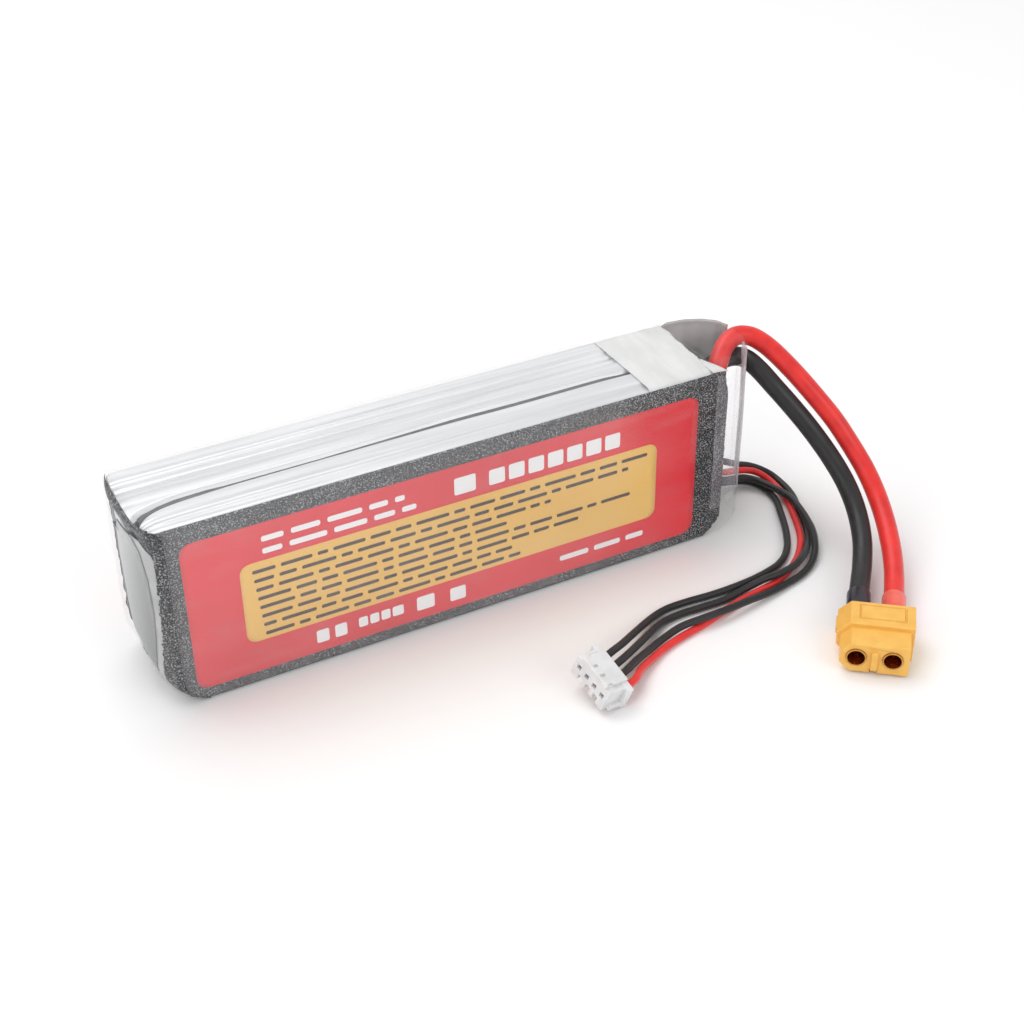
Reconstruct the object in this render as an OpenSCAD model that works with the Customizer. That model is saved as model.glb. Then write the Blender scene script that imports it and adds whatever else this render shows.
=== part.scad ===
/* [Pack] */
// Length of one pouch cell
cell_l = 121; // [100:1:122]
// Thickness of one pouch cell
cell_t = 7.9; // [6:0.1:7.9]
// Gap between neighbouring cells, filled by an adhesive pad
gap_t = 0.3; // [0.2:0.05:0.4]
// Height of a pouch cell, seam folds included
cell_h = 41.2; // [36:0.1:41.4]
// Thickness of a pouch foil
foil_t = 0.4; // [0.2:0.05:0.6]

/* [Sleeve and labels] */
// Thickness of the clear sleeve
sleeve_t = 0.3; // [0.2:0.05:0.4]
// Thickness of a printed label
label_t = 0.15; // [0.1:0.05:0.15]
// Thickness of the terminal tape
tape_t = 0.2; // [0.1:0.05:0.2]
// Width of the terminal tape along the pack
tape_w = 15.5; // [10:0.5:16]

/* [Power connector] */
// Spacing of the two sockets
socket_pitch = 7.2; // [7:0.1:7.5]
// Radius of a socket bore
socket_r = 1.75; // [1.5:0.05:1.8]
// Depth of a socket bore
socket_depth = 8; // [6:0.5:10]
// Height of the housing
plug_h = 8.1; // [8:0.1:9]

/* [Leads] */
// Outer diameter of a power lead
lead_d = 4.3; // [4:0.1:4.4]
// Outer diameter of a balance wire
wire_d = 1.6; // [1.3:0.1:1.6]

/* [Balance connector] */
// Spacing of the four contacts
bal_pitch = 2.5; // [2.4:0.05:2.6]
// Length of the housing along the mating direction
bal_l = 5.7; // [5.4:0.1:8]
// Thickness of the housing
bal_h = 5.75; // [5.5:0.05:6]

/* [Hidden] */

$fn = 48;

// Outer size of the pack: x from -71 to 71, y from -12.9 to 12.9, z from 0 to 42.6
pack_t = 25.8;
pack_h = 42.6;

// Plan outline of the sleeve: bulged plain end at low x, gathered mouth at high x
PLAN = [[-65.6, -12.9], [-67.6, -12.3], [-69.2, -10.4], [-70.3, -7], [-70.8, -3.6], [-71, 0],
    [-71, 3], [-70.7, 6.6], [-70.1, 9.6], [-69.2, 11.8], [-67.6, 12.9],
    [58.5, 12.9], [62.4, 12.3], [66, 10.6], [69, 8], [70.6, 6], [71, 5],
    [71, -0.5], [69.6, -5.4], [67.4, -7.8], [63.4, -10.8], [60, -12.4], [57.4, -12.9]];
// Side outline of the sleeve: rounded lower corner at the plain end
SIDE = [[-71, 40.8], [-70.9, 13], [-70.4, 9.6], [-69.3, 6.4], [-67.6, 3.8], [-65.2, 1.7], [-62.4, 0.5], [-58.6, 0],
    [67.6, 0], [71, 2.4], [71, 41.4], [69.6, 42.6], [-69.4, 42.6], [-70.6, 42.1]];

// Points of a closed outline moved inward by g, corner by corner
function unit(v) = v / norm(v);
function inset(pts, g, s = 1) = [for (i = [0 : len(pts) - 1])
    let (n = len(pts), a = pts[(i + n - 1) % n], b = pts[i], c = pts[(i + 1) % n],
        d1 = unit(b - a), d2 = unit(c - b), m1 = [-d1[1], d1[0]], m2 = [-d2[1], d2[0]],
        m = unit(m1 + m2)) b + s * m * g / max(0.5, m * m1)];

module section(g) {
    r = 1.8 - g * 0.6;
    w = pack_t / 2 - g;
    z0 = g; z1 = pack_h - g;
    union() {
        translate([-w + r, z0]) square([2 * w - 2 * r, z1 - z0]);
        translate([-w, z0 + r]) square([2 * w, z1 - z0 - 2 * r]);
        for (y = [-w + r, w - r], z = [z0 + r, z1 - r]) translate([y, z]) circle(r);
    }
}
// The sleeve's outer form, moved inward by g; the mouth at high x stays open when open is true
module envelope(g, mouth = 0) {
    intersection() {
        translate([-80, 0, 0]) rotate([90, 0, 90]) linear_extrude(160) section(g);
        translate([0, 0, -1]) linear_extrude(50) polygon([for (p = inset(PLAN, -g)) [p[0] > 69.4 && p[1] < 5.4 ? p[0] + mouth : p[0], p[1]]]);
        translate([0, 20, 0]) rotate([90, 0, 0]) linear_extrude(40) polygon([for (p = inset(SIDE, g)) [p[0] > 69 ? p[0] + mouth : p[0], p[1]]]);
    }
}

module outer_sleeve() color([0.92, 0.93, 0.95, 0.35]) difference() {
    envelope(0);
    envelope(sleeve_t, 2);
    // opening in the plain end, with round corners
    translate([-80, 0, 0]) rotate([90, 0, 90]) linear_extrude(12.5) union() {
        translate([-5, 8]) square([11, 28]);
        translate([-8, 11]) square([17, 22]);
        for (p = [[-5, 11], [6, 11], [-5, 33], [6, 33]]) translate(p) circle(3);
    }
}

// Labels are thin shells between two inward-moved forms of the sleeve
module label_shell() difference() {
    envelope(sleeve_t + 0.02);
    envelope(sleeve_t + 0.02 + label_t);
}
module front_label() color([0.17, 0.17, 0.18]) intersection() {
    label_shell();
    translate([-70.3, -14, 1.6]) cube([127.6, 9.2, 39.6]);
}
module back_label() color([0.17, 0.17, 0.18]) intersection() {
    label_shell();
    translate([-70.3, 4.8, 1.6]) cube([139.5, 9.2, 39.6]);
}

// Cells stand on their long edges, side by side, a little staggered
cell_x = [-66.3, -69.2, -67.9];
cell_y = [for (i = [0 : 2]) (i - 1) * (cell_t + gap_t)];
cell_z = 0.75;

module round_box(l, t, h, r) linear_extrude(l) union() {
    translate([-t / 2 + r, 0]) square([t - 2 * r, h]);
    translate([-t / 2, r]) square([t, h - 2 * r]);
    for (y = [-t / 2 + r, t / 2 - r], z = [r, h - r]) translate([y, z]) circle(r);
}
module along_x() rotate([90, 0, 90]) children();

module pouch(i) color([0.86, 0.87, 0.88]) intersection() {
    translate([cell_x[i], cell_y[i], cell_z]) difference() {
        along_x() round_box(cell_l, cell_t, cell_h, 1.6);
        translate([foil_t, 0, 1.4]) along_x() round_box(cell_l - 3.4, cell_t - 2 * foil_t, cell_h - 2.8, 1.2);
        // slots the two tabs leave through
        for (z = tab_z) translate([cell_l - 4, -0.35, z - 4.3 - cell_z]) cube([6, 0.7, 8.6]);
    }
    envelope(sleeve_t + label_t + 0.1);
}
module stack(i) color([0.25, 0.25, 0.27]) intersection() {
    translate([cell_x[i] + foil_t + 1, cell_y[i], cell_z + 1.7]) along_x() round_box(cell_l - 6.5, cell_t - 2 * foil_t - 0.2, cell_h - 3.4, 1);
    envelope(sleeve_t + label_t + foil_t + 0.7);
}

// Heights of the two tabs of a cell
tab_z = [31, 12];
// Tabs run from inside the pouch to the board, then lie against it
board_x = 58.2;
board_t = 1.2;
tab_t = 0.2;
module tab(i, k) {
    z = tab_z[k];
    x0 = cell_x[i] + cell_l - 5.2;
    s = i == 0 ? 1 : i == 2 ? -1 : (k == 0 ? 1 : -1);
    translate([x0, cell_y[i] - tab_t / 2, z - 4]) cube([board_x - x0, tab_t, 8]);
    translate([board_x - tab_t, s > 0 ? cell_y[i] + tab_t / 2 : cell_y[i] - tab_t / 2 - 3.2, z - 4]) cube([tab_t, 3.2, 8]);
}
module tab_sealing_films() color([0.93, 0.93, 0.9]) for (i = [0 : 2], z = tab_z)
    translate([cell_x[i] + cell_l, cell_y[i], z]) difference() {
        translate([0.05, -0.35, -4.9]) cube([1.6, 0.7, 9.8]);
        translate([-1, -tab_t / 2, -4]) cube([4, tab_t, 8]);
    }
module gap_pad(j) color([0.95, 0.95, 0.93]) translate([-58, cell_y[j] + cell_t / 2, 6]) cube([105, gap_t, 30]);

module terminal_board() color([0.1, 0.35, 0.2]) translate([board_x, -9.3, 5.2]) cube([board_t, 18.6, 32.6]);
module insulation_paper() color([0.84, 0.76, 0.6]) difference() {
    translate([55.6, -11.2, 2.4]) cube([0.25, 22.4, 37.8]);
    for (i = [0 : 2], z = tab_z) translate([55, cell_y[i] - 0.3, z - 4.2]) cube([2, 0.6, 8.4]);
}

// Tape once round the three cells, thin ring
module terminal_tape() color([0.95, 0.95, 0.94]) {
    w = cell_y[2] + cell_t / 2;
    translate([39.6, 0, 0]) along_x() linear_extrude(tape_w) difference() {
        tape_form(w + tape_t, cell_z + 0.02 - tape_t, cell_z + cell_h + tape_t, 1.8);
        tape_form(w + 0.02, cell_z, cell_z + cell_h + 0.02, 1.6);
    }
}
module tape_form(w, z0, z1, r) union() {
    translate([-w + r, z0]) square([2 * w - 2 * r, z1 - z0]);
    translate([-w, z0 + r]) square([2 * w, z1 - z0 - 2 * r]);
    for (y = [-w + r, w - r], z = [z0 + r, z1 - r]) translate([y, z]) circle(r);
}
module end_pad() color([0.72, 0.72, 0.73]) difference() {
    intersection() {
        envelope(sleeve_t + label_t + 0.06);
        translate([-72, -10, 4]) cube([5.6, 20.6, 36]);
    }
    for (i = [0 : 2]) translate([cell_x[i], cell_y[i] - cell_t / 2 - gap_t / 2 - 0.01, -1]) cube([20, cell_t + gap_t + 0.02, 60]);
}

// ---- swept cords -------------------------------------------------------
// Route points, in order from the board to the connector
POSITIVE_ROUTE = [[61.5, -4, 28], [61.5, -4, 31], [62.1, -3.2, 34.4], [63.9, -1.5, 37.3], [66.8, 0.5, 39.5],
    [70, 1.4, 40.4], [72.9, 0.5, 40.1], [74.8, -1.4, 39.1], [76.6, -4.3, 37.3], [78.9, -8.7, 34], [81.5, -13, 29.8],
    [84.3, -17.4, 24.9], [86.3, -21.6, 20], [87.3, -26.2, 15.8], [87, -31.2, 12.2], [85.2, -37.2, 9.2],
    [82.3, -43.4, 6.8], [79, -48.8, 5.1], [75, -54.1, 4.1], [70.6, -59.6, 4.05]];
NEGATIVE_ROUTE = [[61.5, 4.6, 22], [61.5, 4.6, 25.5], [62.6, 4.4, 29.4], [65.2, 3.6, 32.9], [68.4, 1.6, 35.4],
    [70.6, -1.2, 36.1], [72, -4.8, 34.8], [74, -8.6, 31.6], [76.8, -12.4, 27.3], [79.5, -16.5, 22.6],
    [81.4, -21.5, 17.9], [82.3, -26.4, 13.6], [81.5, -31.8, 9.9], [78.8, -37.8, 6.9], [74.6, -43.6, 4.9],
    [69.6, -49.4, 4.1], [65, -55.1, 4.05]];
GROUND_ROUTE = [[60.6, 2.6, 8.5], [62.2, 2.6, 6.2], [65, 2.4, 3.4], [68.5, 2, 1.9], [72, 1.6, 1.3], [74.8, 0.8, 1.1], [76.7, -1.2, 0.95], [77.5, -4.4, 0.85],
    [77, -8.8, 0.85], [75.2, -13.1, 0.85], [73.3, -17.3, 0.85], [71.2, -21.3, 0.85], [68.8, -25, 0.85], [66, -28, 0.85],
    [62.8, -30, 0.85], [59.4, -31, 0.85], [55, -31.8, 0.85], [49.4, -32.2, 0.85], [44, -32.2, 0.85], [38.6, -31.8, 0.85],
    [33.4, -31.8, 0.85], [28.8, -33.3, 1.2], [23, -36.8, 2.5], [17.2, -40.8, 4.2], [13, -43.4, 5.4], [10.2, -44.9, 5.8], [8.4, -45.3, 5.8]];
ONE_ROUTE = [[60.6, 5.4, 13.2], [62.4, 5.2, 11.6], [65, 4.4, 9.6], [68, 3.5, 7.8], [71, 2.9, 6.4], [74, 2.8, 4.9], [77, 2.5, 3.8], [79.6, 1.5, 2.6],
    [81.4, -0.4, 1.6], [82.1, -3, 0.95], [82, -6.2, 0.85], [81.2, -9.8, 0.85], [79.6, -14, 0.85], [77.9, -18.5, 0.85],
    [75.7, -23, 0.85], [72.8, -27.1, 1.3], [69, -30.8, 2.1], [64.8, -33.5, 2.5], [60.2, -34.6, 2.5], [56, -34.5, 2.3],
    [51.3, -34.3, 1.3], [45.8, -35, 0.85], [40.3, -34.9, 0.85], [35, -34.7, 0.85], [29.8, -35.6, 1.1], [24, -39, 2.1], [18.4, -42.8, 3.5], [13.4, -46, 4.7], [10.6, -47.3, 5], [8.8, -47.6, 5]];
TWO_ROUTE = [[60.6, -0.4, 10.5], [62.6, -0.4, 7.8], [65.6, 0, 5.2], [68.8, 0.4, 3.6], [71.6, 0.5, 3], [74, 0, 2.8], [75.8, -1.5, 2.6], [76.9, -3.6, 2.5],
    [77.7, -6, 2.5], [78.5, -8.6, 2.5], [78.9, -11.4, 2.5], [78.6, -14.4, 2.5], [77.9, -17.8, 2.5], [77, -21, 2.5],
    [75.8, -24.4, 2.5], [74.1, -27.7, 2.3], [71.9, -30.9, 1.6], [69.1, -33.4, 1], [65.2, -35.4, 0.85], [60.4, -36.7, 0.95],
    [55, -37.9, 1.3], [48.8, -38.9, 2], [43, -39.7, 2.4], [37.2, -39.9, 2.5], [31.8, -39.7, 2.1], [26.4, -41, 1.7], [21.6, -43.4, 2.3], [17.4, -45.8, 3.2], [13.8, -48.2, 4], [11, -49.6, 4.3], [9.2, -49.9, 4.3]];
POSITIVE_WIRE_ROUTE = [[60.6, -3.4, 14], [62.4, -3, 11], [65.2, -1.6, 8.2], [68.4, 0, 6], [71.6, 1.1, 4.7], [75.2, 1.2, 3.8], [77.8, 0.4, 2.9], [79.6, -1.4, 1.7],
    [80.2, -4, 0.95], [79.9, -7.4, 0.85], [78.8, -11.4, 0.85], [77, -15.9, 0.85], [75.2, -20.1, 0.85], [73, -24.1, 0.85], [70.4, -27.5, 0.85],
    [67.6, -30.2, 0.85], [63.8, -32.8, 0.85], [58.8, -35, 0.85], [53.8, -35.9, 0.85], [48.4, -36.9, 0.85], [43, -38.3, 0.85],
    [37, -40, 0.85], [31, -41.3, 0.85], [25.6, -43, 0.95], [20.6, -45.6, 1.6], [17, -48, 2.4], [14.2, -50.6, 3.1], [11.6, -51.9, 3.5], [9.6, -52.3, 3.5]];

// Catmull-Rom point on the route
function cr(a, b, c, d, t) = 0.5 * ((2 * b) + (c - a) * t + (2 * a - 5 * b + 4 * c - d) * t * t + (3 * b - a - 3 * c + d) * t * t * t);
function smooth(P, s) = [for (i = [0 : len(P) - 2], k = [0 : s - 1])
    let (a = i == 0 ? 2 * P[0] - P[1] : P[i - 1], d = i == len(P) - 2 ? 2 * P[i + 1] - P[i] : P[i + 2]) cr(a, P[i], P[i + 1], d, k / s)];
function route(P, s) = concat(smooth(P, s), [P[len(P) - 1]]);
function tangent(P, i) = unit(P[min(i + 1, len(P) - 1)] - P[max(i - 1, 0)]);
// Frame carried along the route without twist
function carry(P, i, n) = i == len(P) ? [] :
    let (t = tangent(P, i), m = unit(n - (n * t) * t)) concat([m], carry(P, i + 1, m));
module tube(P, r, sides, n0) {
    N = carry(P, 0, n0);
    pts = [for (i = [0 : len(P) - 1]) let (t = tangent(P, i), n = N[i], b = cross(t, n))
        for (k = [0 : sides - 1]) P[i] + r * (cos(360 * k / sides) * n + sin(360 * k / sides) * b)];
    q = len(P);
    faces = concat(
        [[for (k = [0 : sides - 1]) sides - 1 - k]],
        [[for (k = [0 : sides - 1]) (q - 1) * sides + k]],
        [for (i = [0 : q - 2], k = [0 : sides - 1])
            [i * sides + k, i * sides + (k + 1) % sides, (i + 1) * sides + (k + 1) % sides, (i + 1) * sides + k]]);
    polyhedron(pts, [for (f = faces) [for (j = [len(f) - 1 : -1 : 0]) f[j]]], convexity = 10);
}
module lead(P) tube(P, lead_d / 2, 8, [1, 0, 0]);
module wire(P) tube(P, wire_d / 2, 8, [0, 0, 1]);

module conductor(y, z) color([0.85, 0.6, 0.4]) translate([61.5, y, z - 5.5]) cylinder(h = 5.5, r = 1.5);

// ---- power connector ---------------------------------------------------
// Local frame: +x out of the mating face, y along the two sockets, z up
module plug_place() translate([58.5, -69, plug_h / 2]) rotate([0, 0, -128.6]) children();
module chamfered(w, h, c) polygon([[-w / 2 + c, -h / 2], [w / 2, -h / 2], [w / 2, h / 2], [-w / 2 + c, h / 2], [-w / 2, h / 2 - c], [-w / 2, -h / 2 + c]]);
rear_x = -13.3;
module power_connector_housing() color([0.96, 0.72, 0.25]) plug_place() difference() {
    union() {
        translate([rear_x, 0, 0]) along_x() linear_extrude(7.6) chamfered(15.4, plug_h, 2.5);
        translate([rear_x + 7.6, 0, -0.2]) along_x() linear_extrude(5.7) chamfered(13.8, 6.7, 2.1);
        // raised key rib on the mating face
        translate([-1, -0.6, -2.5]) cube([1.8, 1.2, 4.3]);
        // grip rib on the chamfered side
        translate([rear_x + 1.4, -7.95, -0.9]) cube([3.6, 0.6, 1.8]);
    }
    for (s = [-1, 1]) {
        translate([0, s * socket_pitch / 2, 0]) {
            translate([rear_x - 1, 0, 0]) rotate([0, 90, 0]) cylinder(h = -rear_x + 1 - 3, r = 2.3);
            translate([-3.5, 0, 0]) rotate([0, 90, 0]) cylinder(h = 8, r = 2.05);
            // gripping hollow at the rear
            translate([rear_x - 1, 0, 0]) rotate([0, 90, 0]) cylinder(h = 2.2, r = 2.6);
        }
    }
    // key slot below the rib
    translate([-4.5, -0.75, -4.2]) cube([6, 1.5, 1.5]);
    // blank engraved frame on the top
    translate([rear_x + 0.9, -3.45, plug_h / 2 - 0.16]) difference() {
        cube([4.7, 9.35, 1]);
        translate([0.3, 0.3, -1]) cube([4.1, 8.75, 3]);
    }
}
module power_socket(s) color([0.93, 0.72, 0.3]) plug_place() translate([0, s * socket_pitch / 2, 0]) rotate([0, 90, 0]) difference() {
    union() {
        translate([0, 0, rear_x + 1.2]) cylinder(h = -rear_x - 1.2 - 3, r = 2.3);
        translate([0, 0, -3.5]) cylinder(h = 3.75, r = 2.05);
        translate([0, 0, rear_x - 1.6]) cylinder(h = 3.4, r = 2);
    }
    translate([0, 0, 0.25 - socket_depth]) cylinder(h = socket_depth + 1, r = socket_r);
    translate([0, 0, rear_x - 2]) cylinder(h = 2.6, r = 1.5);
}
module shrink(s) plug_place() translate([0, s * socket_pitch / 2, 0]) rotate([0, 90, 0]) difference() {
    translate([0, 0, rear_x - 7.6]) cylinder(h = 8.8, r = 2.5);
    translate([0, 0, rear_x - 8]) cylinder(h = 10, r = lead_d / 2 + 0.03);
}

// ---- balance connector -------------------------------------------------
// Local frame: +x out of the mating face, y across the four ways, z through the thickness
module bal_place() translate([7.17, -49.05, 5.15]) rotate([0, 0, 190]) rotate([0, -9, 0]) rotate([-18, 0, 0]) children();
module balance_connector_housing() color([0.93, 0.93, 0.93]) bal_place() difference() {
    union() {
        // raised middle and lower side rails
        translate([-bal_l / 2, -3.9, -bal_h / 2]) cube([bal_l, 7.8, bal_h]);
        translate([-bal_l / 2, -5.2, -bal_h / 2]) cube([bal_l, 10.4, bal_h - 0.75]);
        // rear flange
        translate([-bal_l / 2, -6.2, -bal_h / 2]) cube([1.5, 12.4, bal_h - 0.5]);
        // guide ribs
        for (s = [-1, 1]) translate([-bal_l / 2, s * 5.55 - 0.45, -bal_h / 2]) cube([bal_l - 1.4, 0.9, 1.4]);
    }
    for (i = [-1.5 : 1 : 1.5]) translate([0, i * bal_pitch, 0]) {
        // contact cavity, wide for the wire and narrow at the face
        translate([-bal_l / 2 - 1, -0.9, -0.9]) cube([3.1, 1.8, 1.8]);
        translate([-bal_l / 2 + 2, -0.55, -0.55]) cube([bal_l, 1.1, 1.1]);
        // lance window
        translate([bal_l / 2 - 1.9, -0.35, bal_h / 2 - 0.5]) cube([1.2, 0.7, 2]);
    }
    // castellations along the lower front edge
    for (i = [-1 : 1]) translate([bal_l / 2 - 1.5, i * bal_pitch - 0.65, -bal_h / 2 - 1]) cube([3, 1.3, 2.5]);
}
module balance_contacts() color([0.8, 0.78, 0.7]) bal_place() for (i = [-1.5 : 1 : 1.5])
    translate([-bal_l / 2 + 2.2, i * bal_pitch, 0]) difference() {
        translate([0, -0.5, -0.5]) cube([bal_l - 2.8, 1, 1]);
        translate([1, -0.32, -0.32]) cube([bal_l, 0.64, 0.64]);
    }

module solder_joints() color([0.8, 0.8, 0.82]) {
    bx = board_x + board_t;
    for (p = [[-4, 24], [4.6, 18]]) difference() {
        translate([bx, p[0] - 2.2, p[1] - 1.6]) cube([2.4, 4.4, 3.2]);
        translate([61.5, p[0], p[1] - 5]) cylinder(h = 12, r = 1.5);
    }
    for (p = [[2.6, 8.5], [5.4, 13.2], [-0.4, 10.5], [-3.4, 14]])
        translate([bx, p[0], p[1]]) rotate([0, 90, 0]) cylinder(h = 1, r = 1.3);
}

outer_sleeve();
front_label();
back_label();
pouch(0);  // front_cell_pouch
pouch(1);  // middle_cell_pouch
pouch(2);  // rear_cell_pouch
stack(0);  // front_electrode_stack
stack(1);  // middle_electrode_stack
stack(2);  // rear_electrode_stack
color([0.8, 0.8, 0.82]) tab(0, 0);  // front_positive_tab
color([0.8, 0.8, 0.82]) tab(1, 0);  // middle_positive_tab
color([0.8, 0.8, 0.82]) tab(2, 0);  // rear_positive_tab
color([0.75, 0.73, 0.68]) tab(0, 1);  // front_negative_tab
color([0.75, 0.73, 0.68]) tab(1, 1);  // middle_negative_tab
color([0.75, 0.73, 0.68]) tab(2, 1);  // rear_negative_tab
tab_sealing_films();
gap_pad(0);  // front_gap_pad
gap_pad(1);  // rear_gap_pad
terminal_board();
insulation_paper();
solder_joints();
terminal_tape();
end_pad();
conductor(-4, 28);  // positive_conductor
conductor(4.6, 22);  // negative_conductor
color([0.9, 0.12, 0.1]) lead(POSITIVE_ROUTE);  // positive_lead
color([0.07, 0.07, 0.08]) lead(NEGATIVE_ROUTE);  // negative_lead
color([0.93, 0.3, 0.27]) shrink(1);  // positive_heat_shrink
color([0.08, 0.08, 0.1]) shrink(-1);  // negative_heat_shrink
power_connector_housing();
power_socket(1);  // positive_socket
power_socket(-1);  // negative_socket
color([0.07, 0.07, 0.08]) wire(GROUND_ROUTE);  // balance_wire_ground
color([0.07, 0.07, 0.08]) wire(ONE_ROUTE);  // balance_wire_cell_one
color([0.07, 0.07, 0.08]) wire(TWO_ROUTE);  // balance_wire_cell_two
color([0.9, 0.12, 0.1]) wire(POSITIVE_WIRE_ROUTE);  // balance_wire_positive
balance_connector_housing();
balance_contacts();
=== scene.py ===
import bpy
import math
from mathutils import Vector, Matrix, noise


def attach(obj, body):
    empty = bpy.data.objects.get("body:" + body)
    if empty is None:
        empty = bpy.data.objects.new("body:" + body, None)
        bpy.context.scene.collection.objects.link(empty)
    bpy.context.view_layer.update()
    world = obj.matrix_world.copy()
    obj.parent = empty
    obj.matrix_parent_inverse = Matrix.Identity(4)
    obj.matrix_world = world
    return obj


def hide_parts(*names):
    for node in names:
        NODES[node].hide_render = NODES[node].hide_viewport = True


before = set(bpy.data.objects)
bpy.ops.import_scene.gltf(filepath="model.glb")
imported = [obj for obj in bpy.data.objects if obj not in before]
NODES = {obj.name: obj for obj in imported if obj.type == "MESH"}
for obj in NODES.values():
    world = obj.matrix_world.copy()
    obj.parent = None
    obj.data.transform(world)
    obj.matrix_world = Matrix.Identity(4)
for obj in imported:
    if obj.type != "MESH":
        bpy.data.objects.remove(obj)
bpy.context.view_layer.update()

MM = 0.001
scene = bpy.context.scene

# ------------------------------------------------------------------ camera
cam_data = bpy.data.cameras.new("camera")
cam_data.lens = 60.79
cam_data.sensor_width = 36.0
cam_data.clip_start = 0.01
cam_data.clip_end = 20
cam = bpy.data.objects.new("camera", cam_data)
scene.collection.objects.link(cam)
az, el, roll = (math.radians(a) for a in (-27.279, 34.309, -0.801))
back = Vector((math.sin(az) * math.cos(el), -math.cos(az) * math.cos(el), math.sin(el)))
right = (-back).cross(Vector((0, 0, 1))).normalized()
up = right.cross(-back)
r2 = right * math.cos(roll) + up * math.sin(roll)
u2 = -right * math.sin(roll) + up * math.cos(roll)
rot = Matrix((r2, u2, back)).transposed().to_4x4()
cam.matrix_world = Matrix.Translation(Vector((-127.67, -273.56, 223.02)) * MM) @ rot
scene.camera = cam

# ------------------------------------------------------------------ helpers


def link(o):
    scene.collection.objects.link(o)
    return o


def mesh_obj(name, verts, faces, smooth=True, unit=MM):
    me = bpy.data.meshes.new(name)
    me.from_pydata([(v[0] * unit, v[1] * unit, v[2] * unit) for v in verts], [], faces)
    me.update()
    if smooth:
        for p in me.polygons:
            p.use_smooth = True
    return link(bpy.data.objects.new(name, me))


def catmull(P, s):
    """Points on a smooth open curve through P, s per span."""
    out = []
    n = len(P)
    for i in range(n - 1):
        a = P[i - 1] if i else [2 * p - q for p, q in zip(P[0], P[1])]
        b, c = P[i], P[i + 1]
        d = P[i + 2] if i < n - 2 else [2 * p - q for p, q in zip(P[-1], P[-2])]
        for k in range(s):
            t = k / s
            out.append([0.5 * (2 * q + (r - p) * t + (2 * p - 5 * q + 4 * r - w) * t * t
                               + (3 * q - p - 3 * r + w) * t ** 3)
                        for p, q, r, w in zip(a, b, c, d)])
    out.append(list(P[-1]))
    return out


def interp(x, xs, ys):
    if x <= xs[0]:
        return ys[0]
    for i in range(len(xs) - 1):
        if x <= xs[i + 1]:
            return ys[i] + (ys[i + 1] - ys[i]) * (x - xs[i]) / max(1e-9, xs[i + 1] - xs[i])
    return ys[-1]


def sstep(a, b, x):
    t = min(1.0, max(0.0, (x - a) / (b - a)))
    return t * t * (3 - 2 * t)


def nz(x, y, z, seed=0.0):
    return noise.noise(Vector((x + seed * 17.3, y - seed * 5.1, z + seed * 9.7)))


# ------------------------------------------------------------------ materials


def new_mat(name):
    m = bpy.data.materials.new(name)
    m.use_nodes = True
    t = m.node_tree
    bs = next(n for n in t.nodes if n.type == "BSDF_PRINCIPLED")
    return m, t, bs


def coords(t, scale=(1, 1, 1), loc=(0, 0, 0)):
    tc = t.nodes.new("ShaderNodeTexCoord")
    mp = t.nodes.new("ShaderNodeMapping")
    mp.inputs["Scale"].default_value = scale
    mp.inputs["Location"].default_value = loc
    t.links.new(tc.outputs["Object"], mp.inputs["Vector"])
    return mp.outputs["Vector"]


def noise_tex(t, vec, scale, detail=3, rough=0.5, distortion=0.0):
    n = t.nodes.new("ShaderNodeTexNoise")
    n.inputs["Scale"].default_value = scale
    n.inputs["Detail"].default_value = detail
    n.inputs["Roughness"].default_value = rough
    n.inputs["Distortion"].default_value = distortion
    t.links.new(vec, n.inputs["Vector"])
    return n.outputs["Fac"]


def ramp(t, fac, stops, interp_mode="LINEAR"):
    r = t.nodes.new("ShaderNodeValToRGB")
    r.color_ramp.interpolation = interp_mode
    while len(r.color_ramp.elements) < len(stops):
        r.color_ramp.elements.new(0.5)
    for e, (p, c) in zip(r.color_ramp.elements, stops):
        e.position = p
        e.color = (c, c, c, 1) if isinstance(c, (int, float)) else tuple(c) + (1,)
    t.links.new(fac, r.inputs["Fac"])
    return r.outputs["Color"]


def maprange(t, v, a, b, c, d):
    m = t.nodes.new("ShaderNodeMapRange")
    for k, x in zip(("From Min", "From Max", "To Min", "To Max"), (a, b, c, d)):
        m.inputs[k].default_value = x
    t.links.new(v, m.inputs["Value"])
    return m.outputs["Result"]


def mathn(t, op, a, b=None):
    m = t.nodes.new("ShaderNodeMath")
    m.operation = op
    for i, v in enumerate((a, b)):
        if v is None:
            continue
        if isinstance(v, (int, float)):
            m.inputs[i].default_value = v
        else:
            t.links.new(v, m.inputs[i])
    return m.outputs[0]


def bump(t, bs, height, strength=0.3, dist=0.0001, prev=None):
    b = t.nodes.new("ShaderNodeBump")
    b.inputs["Strength"].default_value = strength
    b.inputs["Distance"].default_value = dist
    t.links.new(height, b.inputs["Height"])
    if prev is not None:
        t.links.new(prev, b.inputs["Normal"])
    t.links.new(b.outputs["Normal"], bs.inputs["Normal"])
    return b.outputs["Normal"]


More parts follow.
